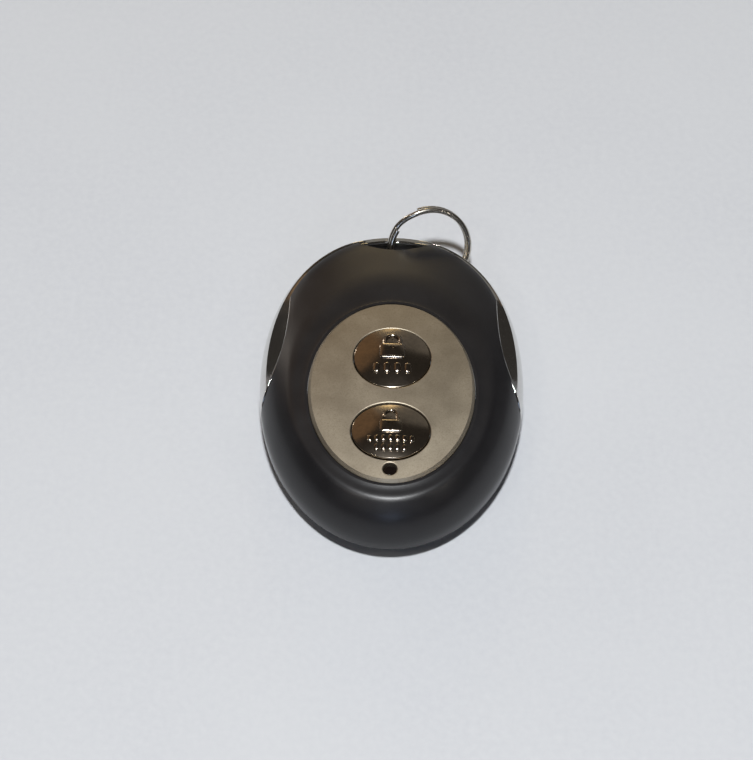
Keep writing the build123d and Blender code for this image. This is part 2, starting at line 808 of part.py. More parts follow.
# Small transistor with three leads
with BuildPart() as rf_transistor:
    with BuildSketch(Plane.XY.offset(mount_height + chip_pin_thickness)):
        with Locations((side_x(transistor_side_inset), transistor_y)):
            Rectangle(transistor_length, transistor_width)
    extrude(amount=transistor_height - chip_pin_thickness)
    with BuildSketch(Plane.XY.offset(mount_height)):
        lead_y = transistor_width / 2
        with Locations((side_x(transistor_side_inset), transistor_y)):
            with Locations((0, lead_y), (-transistor_length / 3, -lead_y), (transistor_length / 3, -lead_y)):
                Rectangle(chip_pin_width, transistor_width)
    extrude(amount=chip_pin_thickness)
save(rf_transistor, "rf_transistor")


# Rows of chip capacitors and resistors
def chip_row(x, y, height):
    with BuildSketch(Plane.XY.offset(mount_height)) as row:
        with Locations((x, y)):
            with GridLocations(0, small_chip_pitch, 1, small_chip_count):
                Rectangle(small_chip_length, small_chip_width)
    extrude(row.sketch, amount=height)


with BuildPart() as chip_capacitors:
    chip_row(side_x(small_chip_side_inset), small_chip_row_y, capacitor_height)
save(chip_capacitors, "chip_capacitors")

with BuildPart() as chip_resistors:
    chip_row(-side_x(small_chip_side_inset), small_chip_row_y, resistor_height)
save(chip_resistors, "chip_resistors")

# Coin cell: can, gasket and cap
can_height = cell_thickness - cell_cap_step
with BuildPart() as battery_can:
    with Locations((0, cell_middle_y, cell_base_height)):
        Cylinder(cell_radius, can_height, align=standing)
    fillet(battery_can.edges().sort_by(Axis.Z)[0], cell_round)
    with Locations((0, cell_middle_y, cell_base_height + cell_can_wall)):
        Cylinder(cell_radius - cell_can_wall, can_height,
                 align=standing, mode=Mode.SUBTRACT)
save(battery_can, "battery_can")

with BuildPart() as battery_gasket:
    with Locations((0, cell_middle_y, cell_base_height + cell_can_wall)):
        Cylinder(cell_radius - cell_can_wall, can_height - cell_can_wall,
                 align=standing)
        Cylinder(cell_radius - cell_can_wall - cell_gasket_width, can_height - cell_can_wall,
                 align=standing, mode=Mode.SUBTRACT)
save(battery_gasket, "battery_gasket")

with BuildPart() as battery_cap:
    with Locations((0, cell_middle_y, cell_base_height + cell_can_wall)):
        Cylinder(cell_radius - cell_can_wall - cell_gasket_width, can_height - cell_can_wall,
                 align=standing)
        Cylinder(cell_radius - cell_can_wall - cell_gasket_width - cell_cap_shoulder,
                 cell_thickness - cell_can_wall, align=standing)
save(battery_cap, "battery_cap")

# Negative contact: a slotted disc between the cell's cap and the board
with BuildPart() as battery_contact:
    with BuildSketch(Plane.XY.offset(cell_top_height)):
        with Locations((0, cell_middle_y)):
            Circle(contact_radius)
            with PolarLocations(contact_radius / 2, contact_slots):
                Rectangle(contact_radius / 2, contact_slot_width, mode=Mode.SUBTRACT)
    extrude(amount=contact_thickness)
save(battery_contact, "battery_contact")

# Positive clip: a strap under the cell with legs and feet on the board
clip_base_height = cell_base_height - solder_gap - clip_thickness
clip_leg_x = cell_radius + clip_side_gap / 2
with BuildPart() as battery_clip:
    with BuildSketch(Plane.XZ.offset(-cell_middle_y)):
        with BuildLine():
            Polyline(
                (-clip_leg_x - clip_thickness - clip_foot, board_base_height - solder_gap - clip_thickness),
                (-clip_leg_x - clip_thickness, board_base_height - solder_gap - clip_thickness),
                (-clip_leg_x - clip_thickness, clip_base_height),
                (clip_leg_x + clip_thickness, clip_base_height),
                (clip_leg_x + clip_thickness, board_base_height - solder_gap - clip_thickness),
                (clip_leg_x + clip_thickness + clip_foot, board_base_height - solder_gap - clip_thickness),
                (clip_leg_x + clip_thickness + clip_foot, board_base_height - solder_gap),
                (clip_leg_x, board_base_height - solder_gap),
                (clip_leg_x, clip_base_height + clip_thickness),
                (-clip_leg_x, clip_base_height + clip_thickness),
                (-clip_leg_x, board_base_height - solder_gap),
                (-clip_leg_x - clip_thickness - clip_foot, board_base_height - solder_gap),
                close=True,
            )
        make_face()
    extrude(amount=clip_width / 2, both=True)
save(battery_clip, "battery_clip")
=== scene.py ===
import logging
import math
from collections.abc import Callable, Mapping, Sequence
from dataclasses import dataclass, field
from enum import Enum

import bmesh
import bpy
from mathutils import Matrix, Vector


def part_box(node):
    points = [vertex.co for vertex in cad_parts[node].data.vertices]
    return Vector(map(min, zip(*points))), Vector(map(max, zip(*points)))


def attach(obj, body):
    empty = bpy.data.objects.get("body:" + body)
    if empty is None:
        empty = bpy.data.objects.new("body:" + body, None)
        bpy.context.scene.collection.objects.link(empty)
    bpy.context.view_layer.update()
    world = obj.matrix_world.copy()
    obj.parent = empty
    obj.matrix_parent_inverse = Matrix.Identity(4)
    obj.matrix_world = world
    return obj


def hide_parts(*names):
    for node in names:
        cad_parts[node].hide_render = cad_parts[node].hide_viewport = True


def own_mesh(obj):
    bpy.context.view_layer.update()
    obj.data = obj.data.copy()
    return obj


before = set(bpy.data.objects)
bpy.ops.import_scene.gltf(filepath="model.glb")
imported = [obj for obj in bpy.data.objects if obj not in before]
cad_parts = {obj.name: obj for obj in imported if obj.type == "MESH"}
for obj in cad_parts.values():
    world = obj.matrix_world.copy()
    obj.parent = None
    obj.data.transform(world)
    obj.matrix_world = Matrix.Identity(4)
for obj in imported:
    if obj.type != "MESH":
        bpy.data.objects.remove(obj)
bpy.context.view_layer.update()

# Car key fob. X is right, Y points to the key ring end, Z is up through the buttons.
# The fob's sizes are written in millimetres and turned to metres by MM. The studio's are in metres.
MM = 0.001
PHOTO_WIDTH, PHOTO_HEIGHT = 753, 760
# Cosines from which a face or an edge counts as pointing along an axis: roughly, and squarely
ROUGHLY, SQUARELY = 0.9, 0.95
# Sockets of the Mix node when it mixes colours
MIX_SHARE, MIX_FIRST, MIX_SECOND, MIX_RESULT = 0, 6, 7, 2
# Finer layers in a grain, and how much each adds to the one before
GRAIN_DETAIL, GRAIN_ROUGHNESS = 3.0, 0.55
# Noise keeps near its middle, so these ranges of one noise and of two multiplied stand for all of it
NOISE_RANGE, PRODUCT_RANGE = (0.3, 0.7), (0.12, 0.42)

log = logging.getLogger("key_fob")


def linear(hex_colour: str) -> tuple[float, float, float, float]:
    """Turns an sRGB hex colour to linear light, by the curve of the sRGB standard.

    Args:
        hex_colour: six hex digits after a hash sign.

    Returns:
        Linear red, green, blue and an alpha of one.
    """
    shares = [int(hex_colour[place : place + 2], 16) / 255 for place in (1, 3, 5)]
    red, green, blue = (
        share / 12.92 if share <= 0.04045 else ((share + 0.055) / 1.055) ** 2.4 for share in shares
    )
    return red, green, blue, 1.0


def add_node(
    tree: bpy.types.NodeTree,
    kind: str,
    settings: Mapping[str, object] | None = None,
    inputs: Mapping[str | int, object] | None = None,
) -> bpy.types.Node:
    """Adds one shader node with its settings and links.

    Args:
        tree: node tree that takes the node.
        kind: class name of the node.
        settings: properties of the node, by name.
        inputs: value of each input, or the output socket that feeds it.

    Returns:
        The new node.
    """
    node = tree.nodes.new(kind)
    for name, value in (settings or {}).items():
        setattr(node, name, value)
    for name, value in (inputs or {}).items():
        if isinstance(value, bpy.types.NodeSocket):
            tree.links.new(value, node.inputs[name])
        else:
            node.inputs[name].default_value = value
    return node


@dataclass(frozen=True)
class Finish:
    """A finish whose fine grain shifts its colour, its gloss and its relief a little.

    Attributes:
        name: real material and how its surface was made.
        slot: material slot of the record, empty on the table; not used.
        base: main colour, sRGB hex.
        shade: second colour, which the grain and the patches bring in, sRGB hex.
        roughness: middle roughness.
        gloss_spread: how far roughness moves between patches.
        grain_mm: size of the grain.
        patch_mm: size of the slow patches in gloss, as from handling.
        relief_mm: height of the grain.
        metallic: one on metal, zero on the rest.
        sockets: constant values on the shader, by socket name.
    """

    name: str
    slot: str
    base: str
    shade: str
    roughness: float
    gloss_spread: float = 0.06
    grain_mm: float = 0.3
    patch_mm: float = 7.0
    relief_mm: float = 0.004
    metallic: float = 0.0
    sockets: Mapping[str, object] = field(default_factory=dict)

    def build(self) -> bpy.types.Material:
        """Makes the material, unless it was made before.

        Returns:
            The material.
        """
        made = bpy.data.materials.get(self.name)
        if made is not None:
            return made
        material = bpy.data.materials.new(self.name)
        material.use_nodes = True
        tree = material.node_tree
        tree.nodes.clear()
        place = add_node(tree, "ShaderNodeTexCoord").outputs["Object"]
        shader = add_node(
            tree, "ShaderNodeBsdfPrincipled", inputs={"Metallic": self.metallic, **self.sockets}
        )
        self.paint(tree, place, shader)
        add_node(tree, "ShaderNodeOutputMaterial", inputs={"Surface": shader.outputs["BSDF"]})
        return material

    def grain(
        self, tree: bpy.types.NodeTree, place: bpy.types.NodeSocket, size_mm: float
    ) -> bpy.types.NodeSocket:
        """Adds a noise pattern of a real size.

        Args:
            tree: the material's node tree.
            place: coordinates in metres.
            size_mm: size of the pattern.

        Returns:
            The noise from zero to one.
        """
        noise = add_node(
            tree,
            "ShaderNodeTexNoise",
            inputs={
                "Vector": place,
                "Scale": 1 / (size_mm * MM),
                "Detail": GRAIN_DETAIL,
                "Roughness": GRAIN_ROUGHNESS,
            },
        )
        return noise.outputs["Fac"]

    def pattern(
        self, tree: bpy.types.NodeTree, place: bpy.types.NodeSocket
    ) -> bpy.types.NodeSocket:
        """Adds the pattern of the two colours, here from grain and patches together.

        Args:
            tree: the material's node tree.
            place: coordinates in metres.

        Returns:
            The share of the second colour.
        """
        both = add_node(
            tree,
            "ShaderNodeMath",
            {"operation": "MULTIPLY"},
            {0: self.grain(tree, place, self.grain_mm), 1: self.grain(tree, place, self.patch_mm)},
        )
        low, high = PRODUCT_RANGE
        spread = add_node(
            tree,
            "ShaderNodeMapRange",
            inputs={"Value": both.outputs[0], "From Min": low, "From Max": high},
        )
        return spread.outputs["Result"]

    def paint(
        self, tree: bpy.types.NodeTree, place: bpy.types.NodeSocket, shader: bpy.types.Node
    ) -> None:
        """Links colour, roughness and relief to the shader.

        Args:
            tree: the material's node tree.
            place: coordinates in metres.
            shader: the principled shader.
        """
        colour = add_node(
            tree,
            "ShaderNodeMix",
            {"data_type": "RGBA"},
            {
                MIX_SHARE: self.pattern(tree, place),
                MIX_FIRST: linear(self.base),
                MIX_SECOND: linear(self.shade),
            },
        )
        low, high = NOISE_RANGE
        gloss = add_node(
            tree,
            "ShaderNodeMapRange",
            inputs={
                "Value": self.grain(tree, place, self.patch_mm),
                "From Min": low,
                "From Max": high,
                "To Min": self.roughness - self.gloss_spread / 2,
                "To Max": self.roughness + self.gloss_spread / 2,
            },
        )
        relief = add_node(
            tree,
            "ShaderNodeBump",
            inputs={
                "Strength": 1.0,
                "Distance": self.relief_mm * MM,
                "Height": self.grain(tree, place, self.grain_mm),
            },
        )
        tree.links.new(colour.outputs[MIX_RESULT], shader.inputs["Base Color"])
        tree.links.new(gloss.outputs["Result"], shader.inputs["Roughness"])
        tree.links.new(relief.outputs["Normal"], shader.inputs["Normal"])


@dataclass(frozen=True)
class FlakedPaint(Finish):
    """Silver paint with fine metal flakes, each a small cell with its own brightness.

    Attributes:
        flake_mm: size of a flake, drawn coarser than the real one so that it shows.
    """

    flake_mm: float = 0.16

    def pattern(
        self, tree: bpy.types.NodeTree, place: bpy.types.NodeSocket
    ) -> bpy.types.NodeSocket:
        """Adds the pattern of the two colours, here from flakes over slow patches.

        Args:
            tree: the material's node tree.
            place: coordinates in metres.

        Returns:
            The share of the second colour.
        """
        flakes = add_node(
            tree,
            "ShaderNodeTexVoronoi",
            inputs={"Vector": place, "Scale": 1 / (self.flake_mm * MM)},
        )
        lightness = add_node(
            tree, "ShaderNodeSeparateColor", {"mode": "HSV"}, {0: flakes.outputs["Color"]}
        )
        both = add_node(
            tree,
            "ShaderNodeMath",
            {"operation": "MULTIPLY"},
            {0: lightness.outputs[2], 1: self.grain(tree, place, self.patch_mm)},
        )
        return both.outputs[0]


@dataclass(frozen=True)
class SolderMask(Finish):
    """Green solder mask with copper tracks under it.

    Attributes:
        track_pitch_mm: distance from track to track.
        cell_pitches: size of a bundle of tracks, in pitches.
        cell_randomness: how unevenly the bundles lie.
        half_pitch_share: half of the pitch, as a share of a bundle.
        edge_range: where a track's edge begins and ends, as shares of a bundle from mid gap.
    """

    track_pitch_mm: float = 1.27
    cell_pitches: float = 4.0
    cell_randomness: float = 0.7
    half_pitch_share: float = 0.125
    edge_range: tuple[float, float] = (0.055, 0.07)

    def pattern(
        self, tree: bpy.types.NodeTree, place: bpy.types.NodeSocket
    ) -> bpy.types.NodeSocket:
        """Adds the pattern of the two colours, here tracks that run in stepped bands.

        Args:
            tree: the material's node tree.
            place: coordinates in metres.

        Returns:
            The share of the second colour.
        """
        cells = add_node(
            tree,
            "ShaderNodeTexVoronoi",
            {"distance": "MANHATTAN", "feature": "F2"},
            {
                "Vector": place,
                "Scale": 1 / (self.cell_pitches * self.track_pitch_mm * MM),
                "Randomness": self.cell_randomness,
            },
        )
        steps = add_node(
            tree,
            "ShaderNodeMath",
            {"operation": "PINGPONG"},
            {0: cells.outputs["Distance"], 1: self.half_pitch_share},
        )
        low, high = self.edge_range
        tracks = add_node(
            tree,
            "ShaderNodeMapRange",
            inputs={"Value": steps.outputs[0], "From Min": low, "From Max": high},
        )
        return tracks.outputs["Result"]


# Soft-touch lacquer over moulded ABS: nearly black, with a wide dull sheen and a fine even grain
SOFT_TOUCH = Finish(
    "soft_touch_black_ABS",
    "soft_touch_black",
    "#111012",
    "#19181a",
    roughness=0.38,
    gloss_spread=0.05,
    grain_mm=0.22,
    relief_mm=0.009,
    sockets={"Sheen Weight": 0.22, "Sheen Roughness": 0.25},
)
# Silver paint on moulded ABS: warm grey metal with a soft gloss and a faint even glitter
SATIN_SILVER = FlakedPaint(
    "satin_silver_paint",
    "satin_silver",
    "#9d9280",
    "#c0b6a3",
    roughness=0.47,
    grain_mm=0.25,
    relief_mm=0.003,
    metallic=1.0,
)
# Black nickel plate on moulded ABS: a warm mirror that dims what it shows, with faint finger marks
BLACK_NICKEL = Finish(
    "black_nickel_plate",
    "dark_chrome",
    "#a39788",
    "#8b8175",
    roughness=0.17,
    grain_mm=0.5,
    patch_mm=3.0,
    relief_mm=0.0006,
    metallic=1.0,
)
# Bright chrome plate on moulded ABS: a clear mirror with faint finger marks
BRIGHT_CHROME = Finish(
    "bright_chrome_plate",
    "bright_chrome",
    "#d9d8d5",
    "#c9c8c6",
    roughness=0.06,
    gloss_spread=0.05,
    grain_mm=0.6,
    patch_mm=5.0,
    relief_mm=0.0006,
    metallic=1.0,
)
# Drawn spring steel, nickel plated: bright, with an uneven gloss from the keys that rub it
SPRING_STEEL = Finish(
    "nickel_plated_spring_steel",
    "spring_steel",
    "#d2cec6",
    "#aaa59c",
    roughness=0.24,
    gloss_spread=0.14,
    grain_mm=0.25,
    patch_mm=1.6,
    relief_mm=0.002,
    metallic=1.0,
)
# Moulded ABS of the rear cover: black, with spark-eroded grain
MOULDED_BLACK = Finish(
    "moulded_black_ABS",
    "black_plastic",
    "#171717",
    "#232323",
    roughness=0.52,
    relief_mm=0.02,
)
# Zinc plated steel of the screws: pale blue-grey, slightly mottled
ZINC = Finish(
    "zinc_plated_steel",
    "zinc_screw",
    "#b4b8bb",
    "#969a9c",
    roughness=0.32,
    patch_mm=1.0,
    metallic=1.0,
)
# Polycarbonate of the light pipe, coloured a glossy brown black as painted shade of the hole it sits
# in; it lets a little light through
SHADE_DARKENED_PC = Finish(
    "shade_darkened_polycarbonate",
    "clear_plastic",
    "#1d1512",
    "#120d0b",
    roughness=0.06,
    gloss_spread=0.03,
    relief_mm=0.001,
    sockets={"Transmission Weight": 0.35, "IOR": 1.585},
)
# Epoxy-glass board under green solder mask: glossy, with tracks
GREEN_BOARD = SolderMask(
    "solder_mask_board",
    "board_green",
    "#1c5a33",
    "#2b7443",
    roughness=0.34,
    relief_mm=0.006,
)
# Bare copper of the antenna: warm, dulled in patches
COPPER = Finish(
    "etched_copper",
    "copper",
    "#c98154",
    "#a5623c",
    roughness=0.3,
    patch_mm=2.0,
    metallic=1.0,
)
# Moulded nylon of the switch housings: black with a fine matt grain
SWITCH_NYLON = Finish(
    "moulded_black_nylon",
    "switch_black",
    "#1c1c1e",
    "#29292b",
    roughness=0.55,
)
# Tinned steel of covers and pins: pale, with a slow mottle
TIN_PLATE = Finish(
    "tinned_steel",
    "tin_plate",
    "#c4c4bf",
    "#a8a8a3",
    roughness=0.28,
    patch_mm=1.5,
    metallic=1.0,
)
# Stainless steel of the snap domes: bright and rolled
SNAP_STEEL = Finish(
    "rolled_stainless_steel",
    "snap_steel",
    "#bdbbb7",
    "#a19f9b",
    roughness=0.22,
    metallic=1.0,
)
# Moulded acetal of the plungers: milky white
WHITE_ACETAL = Finish(
    "moulded_white_acetal",
    "white_plastic",
    "#e6e3dc",
    "#d6d2c9",
    roughness=0.4,
    sockets={"Subsurface Weight": 0.15, "Subsurface Scale": 0.001},
)
# Moulded epoxy of the chips: charcoal with a sandy grain
CHIP_EPOXY = Finish(
    "moulded_chip_epoxy",
    "chip_epoxy",
    "#232427",
    "#33343a",
    roughness=0.62,
    grain_mm=0.12,
)
# Fired ceramic of the small chip parts: tan, with darker specks
CERAMIC = Finish(
    "fired_tan_ceramic",
    "ceramic_tan",
    "#b08e62",
    "#8b6b45",
    roughness=0.5,
    grain_mm=0.2,
)
# Stainless steel of the coin cell: brushed smooth, softly patched
CELL_STEEL = Finish(
    "brushed_stainless_steel",
    "cell_steel",
    "#c3c3c1",
    "#aaaaa8",
    roughness=0.26,
    metallic=1.0,
)
# Nickel plated spring strip of the contacts: warm and bright
NICKEL_STRIP = Finish(
    "nickel_plated_strip",
    "nickel_spring",
    "#c9c2b2",
    "#aea795",
    roughness=0.24,
    metallic=1.0,
)
# Nylon of the cell's gasket: pale grey
GASKET_NYLON = Finish(
    "gasket_grey_nylon",
    "gasket_nylon",
    "#8d8d8a",
    "#787875",
    roughness=0.5,
)
# Matt laminate of the table: pale blue-grey with a soft mottle
TABLE_LAMINATE = Finish(
    "pale_table_laminate",
    "",
    "#c2c4c7",
    "#bcbec2",
    roughness=0.55,
    grain_mm=1.2,
    patch_mm=60.0,
    relief_mm=0.01,
)


def dress(nodes: Sequence[str], finish: Finish) -> None:
    """Gives CAD nodes a finish.

    Args:
        nodes: names of the nodes.
        finish: what they are finished with.
    """
    material = finish.build()
    for name in nodes:
        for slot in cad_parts[name].material_slots:
            slot.material = material
    log.info("dressed %s in %s", ", ".join(nodes), finish.name)


def clear_selection() -> None:
    """Deselects every object, because an operator acts on all that is selected."""
    bpy.ops.object.select_all(action="DESELECT")


def select_only(piece: bpy.types.Object) -> None:
    """Selects one object alone and makes it the active one.

    Args:
        piece: the object.
    """
    clear_selection()
    piece.select_set(True)
    bpy.context.view_layer.objects.active = piece


def apply_place() -> None:
    """Moves the place, turn and scale of the selected object into its mesh."""
    bpy.ops.object.transform_apply(location=True, rotation=True, scale=True)


def pick(piece: bpy.types.Object, kind: str, test: Callable[[Vector, Vector], bool]) -> None:
    """Selects faces or edges of a piece in edit mode, by their place and direction.

    Args:
        piece: the object in edit mode.
        kind: FACE or EDGE.
        test: takes the middle and the normal or direction, and says whether to select.
    """
    bpy.ops.mesh.select_mode(type=kind)
    bpy.ops.mesh.select_all(action="DESELECT")
    mesh = bmesh.from_edit_mesh(piece.data)
    if kind == "FACE":
        for face in mesh.faces:
            if test(face.calc_center_median(), face.normal):
                face.select_set(True)
    else:
        for edge in mesh.edges:
            start, end = (corner.co for corner in edge.verts)
            if test((start + end) / 2, (end - start).normalized()):
                edge.select_set(True)
    mesh.select_flush_mode()
    bmesh.update_edit_mesh(piece.data)


def apply_modifier(piece: bpy.types.Object, kind: str, **settings: object) -> None:
    """Adds a modifier to a piece and applies it.

    Args:
        piece: the object.
        kind: type of the modifier.
        settings: its properties.
    """
    modifier = piece.modifiers.new(kind.lower(), kind)
    for name, value in settings.items():
        setattr(modifier, name, value)
    select_only(piece)
    bpy.ops.object.modifier_apply(modifier=modifier.name)


def finish_piece(
    piece: bpy.types.Object, body: str, finish: Finish, sharp_angle: float = 35.0
) -> None:
    """Settles a piece at the origin, smooths it and gives it its finish and body.

    Args:
        piece: the object.
        body: CAD body that it rides on.
        finish: its finish.
        sharp_angle: angle in degrees over which an edge stays sharp.
    """
    select_only(piece)
    apply_place()
    bpy.ops.object.shade_smooth_by_angle(angle=math.radians(sharp_angle))
    piece.data.materials.clear()
    piece.data.materials.append(finish.build())
    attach(piece, body)
    log.info("made %s on %s", piece.name, body)


class Pictogram(Enum):
    """What a button shows: a padlock that is closed or open."""

    CLOSED = "closed"
    OPEN = "open"


@dataclass
class PushButton:
    """A domed push button with a raised padlock and rows of raised pips.

    The relief is made flat about the origin and then moved onto the dome.

    Attributes:
        node: CAD node of the button.
        body: CAD body that the relief rides on.
        pictogram: which padlock it shows.
        pip_rows: number of pips in each row, and the row's place along Y.
        pip_width: size of a pip along X.
        pip_length: size of a pip along Y.
        pip_pitch: distance from pip to pip.
        pip_corner_share: radius of a pip's upright edges, as a share of its width.
        dome_rise: height of the dome over its rim.
        flange: width of the flange at the button's sides.
        flange_end: width of the flange at the button's ends.
        relief_height: how far the shoulder of a block stands out of the dome.
        root_depth: how far a block reaches into the dome.
        edge_round: width of the rounding along a block's upper edge, and rise of its crown.
        crown_inset_share: width of the slope up to the crown, as a share of the rounding.
        edge_angle: angle in degrees from which an edge is rounded.
        edge_segments: facets across a rounded upper edge.
        corner_segments: facets across a rounded upright edge.
        lock_width: size of the padlock's body along X.
        lock_length: size of the padlock's body along Y.
        lock_corner: radius of its upright edges.
        lock_offset: place of its middle along Y.
        shackle_radius: radius of the bow, to the middle of its wire.
        shackle_wire: radius of the wire.
        shackle_leg: length of the legs between body and bow.
        shackle_lift: how much higher the bow of the open padlock stands.
        shackle_segments: facets round the whole bow and round its wire.
        keyhole_radius: radius of the keyhole.
        keyhole_length: length of the slot below it.
        keyhole_sides: facets round the keyhole.
        keyhole_floor_share: height of the keyhole's floor, as a share of the relief's height.
        cutter_height_share: height of what cuts it, as a share of the relief's height.
        middle: the button's middle, at height zero.
        top: height of the dome's top.
        stretch: width of the dome over its length.
        dome_radius: radius of the dome's curve across its width.
    """

    node: str
    body: str
    pictogram: Pictogram
    pip_rows: tuple[tuple[int, float], ...]
    pip_width: float
    pip_length: float
    pip_pitch: float
    pip_corner_share: float = 0.4
    dome_rise: float = 0.75 * MM
    flange: float = 0.9 * MM
    flange_end: float = 0.25 * MM
    relief_height: float = 0.2 * MM
    root_depth: float = 0.35 * MM
    edge_round: float = 0.14 * MM
    crown_inset_share: float = 2.0
    edge_angle: float = 20.0
    edge_segments: int = 2
    corner_segments: int = 5
    lock_width: float = 4.3 * MM
    lock_length: float = 3.2 * MM
    lock_corner: float = 0.55 * MM
    lock_offset: float = 0.9 * MM
    shackle_radius: float = 1.3 * MM
    shackle_wire: float = 0.4 * MM
    shackle_leg: float = 0.6 * MM
    shackle_lift: float = 0.5 * MM
    shackle_segments: tuple[int, int] = (40, 12)
    keyhole_radius: float = 0.45 * MM
    keyhole_length: float = 1.1 * MM
    keyhole_sides: int = 24
    keyhole_floor_share: float = 0.3
    cutter_height_share: float = 4.0
    middle: Vector = field(init=False)
    top: float = field(init=False)
    stretch: float = field(init=False)
    dome_radius: float = field(init=False)

    def __post_init__(self) -> None:
        """Finds the button's middle, top and dome from its CAD node."""
        low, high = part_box(self.node)
        self.middle = Vector(((low.x + high.x) / 2, (low.y + high.y) / 2, 0))
        self.top = high.z
        half_width = (high.x - low.x) / 2 - self.flange
        half_length = (high.y - low.y) / 2 - self.flange_end
        self.stretch = half_width / half_length
        self.dome_radius = (half_width**2 + self.dome_rise**2) / self.dome_rise / 2

    def build(self) -> None:
        """Makes the relief and dresses the button."""
        dress([self.node], BLACK_NICKEL)
        self.settle(self.padlock_body(), "padlock")
        self.settle(self.shackle(), "shackle")
        self.settle(self.pips(), "pips")

    def settle(self, piece: bpy.types.Object, name: str) -> None:
        """Moves a relief from the flat onto the button's dome and finishes it.

        Args:
            piece: relief made about the origin, with the dome's surface at height zero.
            name: what the relief is.
        """
        select_only(piece)
        apply_place()
        for corner in piece.data.vertices:
            reach = corner.co.x**2 + (corner.co.y * self.stretch) ** 2
            drop = self.dome_radius - math.sqrt(self.dome_radius**2 - reach)
            corner.co = corner.co + self.middle + Vector((0, 0, self.top - drop))
        piece.name = f"{self.node}_{name}"
        finish_piece(piece, self.body, BLACK_NICKEL)

    def block(self, width: float, length: float, corner: float, place: Vector) -> bpy.types.Object:
        """Makes a low block with round corners, a soft upper edge and a low crown.

        Args:
            width: size along X.
            length: size along Y.
            corner: radius of the upright edges.
            place: middle of the block on the surface.

        Returns:
            The block, which reaches into the dome by the root depth.
        """
        clear_selection()
        height = self.relief_height + self.root_depth
        middle = place + Vector((0, 0, self.relief_height - height / 2))
        bpy.ops.mesh.primitive_cube_add(size=1, location=middle)
        block = bpy.context.object
        block.scale = (width, length, height)
        apply_place()
        bpy.ops.object.mode_set(mode="EDIT")
        pick(block, "EDGE", lambda _, direction: abs(direction.z) > ROUGHLY)
        bpy.ops.mesh.bevel(offset=corner, segments=self.corner_segments, affect="EDGES")
        pick(block, "FACE", lambda _, normal: normal.z > ROUGHLY)
        slope = self.edge_round * self.crown_inset_share
        bpy.ops.mesh.inset(thickness=slope, depth=self.edge_round)
        bpy.ops.object.mode_set(mode="OBJECT")
        apply_modifier(
            block,
            "BEVEL",
            width=self.edge_round,
            segments=self.edge_segments,
            limit_method="ANGLE",
            angle_limit=math.radians(self.edge_angle),
        )
        return block

    def padlock_body(self) -> bpy.types.Object:
        """Makes the padlock's body and cuts its keyhole.

        Returns:
            The body, in the flat.
        """
        place = Vector((0, self.lock_offset, 0))
        body = self.block(self.lock_width, self.lock_length, self.lock_corner, place)
        cutter_lift = self.keyhole_floor_share + self.cutter_height_share / 2
        clear_selection()
        bpy.ops.mesh.primitive_cylinder_add(
            vertices=self.keyhole_sides,
            radius=self.keyhole_radius,
            depth=self.relief_height * self.cutter_height_share,
            location=place + Vector((0, self.keyhole_radius, self.relief_height * cutter_lift)),
        )
        cutter = bpy.context.object
        bpy.ops.object.mode_set(mode="EDIT")
        pick(cutter, "FACE", lambda _, normal: normal.y < -ROUGHLY)
        bpy.ops.mesh.extrude_region_move(
            TRANSFORM_OT_translate={"value": (0, -self.keyhole_length, 0)}
        )
        bpy.ops.object.mode_set(mode="OBJECT")
        apply_modifier(body, "BOOLEAN", object=cutter, operation="DIFFERENCE", solver="EXACT")
        bpy.data.objects.remove(cutter)
        return body

    def shackle(self) -> bpy.types.Object:
        """Makes the padlock's bow: half a torus whose ends run down as legs.

        Returns:
            The bow, in the flat, with its left leg clear of the body on the open padlock.
        """
        is_open = self.pictogram is Pictogram.OPEN
        root_y = self.lock_offset + self.lock_length / 2
        bow_y = root_y + self.shackle_leg + (self.shackle_lift if is_open else 0)
        ring_segments, wire_segments = self.shackle_segments
        clear_selection()
        bpy.ops.mesh.primitive_torus_add(
            major_segments=ring_segments,
            minor_segments=wire_segments,
            major_radius=self.shackle_radius,
            minor_radius=self.shackle_wire,
            location=(0, bow_y, 0),
        )
        bow = bpy.context.object
        bpy.ops.object.mode_set(mode="EDIT")
        bpy.ops.mesh.select_all(action="SELECT")
        bpy.ops.mesh.bisect(
            plane_co=(0, bow_y, 0), plane_no=(0, -1, 0), clear_outer=True, use_fill=True
        )
        right_leg = bow_y - root_y + self.edge_round
        left_leg = self.shackle_leg / 2 if is_open else right_leg
        for side, leg in ((1, right_leg), (-1, left_leg)):
            pick(bow, "FACE", lambda middle, normal: normal.y < -SQUARELY and middle.x * side > 0)
            bpy.ops.mesh.extrude_region_move(TRANSFORM_OT_translate={"value": (0, -leg, 0)})
        bpy.ops.object.mode_set(mode="OBJECT")
        return bow

    def pips(self) -> bpy.types.Object:
        """Makes the rows of pips, copies of one rounded block.

        Returns:
            All the pips as one object, in the flat.
        """
        corner = self.pip_width * self.pip_corner_share
        model = self.block(self.pip_width, self.pip_length, corner, Vector((0, 0, 0)))
        pips = []
        for count, row_y in self.pip_rows:
            for step in range(count):
                pip = model.copy()
                pip.data = model.data.copy()
                bpy.context.collection.objects.link(pip)
                pip.location = ((step - (count - 1) / 2) * self.pip_pitch, row_y, 0)
                pips.append(pip)
        bpy.data.objects.remove(model)
        select_only(pips[0])
        for pip in pips:
            pip.select_set(True)
        bpy.ops.object.join()
        return pips[0]


@dataclass
class Housing:
    """Front cover, rear cover and the screws that hold them."""

    front: str = "front_cover"
    rear: str = "rear_cover"
    screws: str = "cover_screws"

    def build(self) -> None:
        """Dresses the covers and the screws."""
        dress([self.front], SOFT_TOUCH)
        dress([self.rear], MOULDED_BLACK)
        dress([self.screws], ZINC)


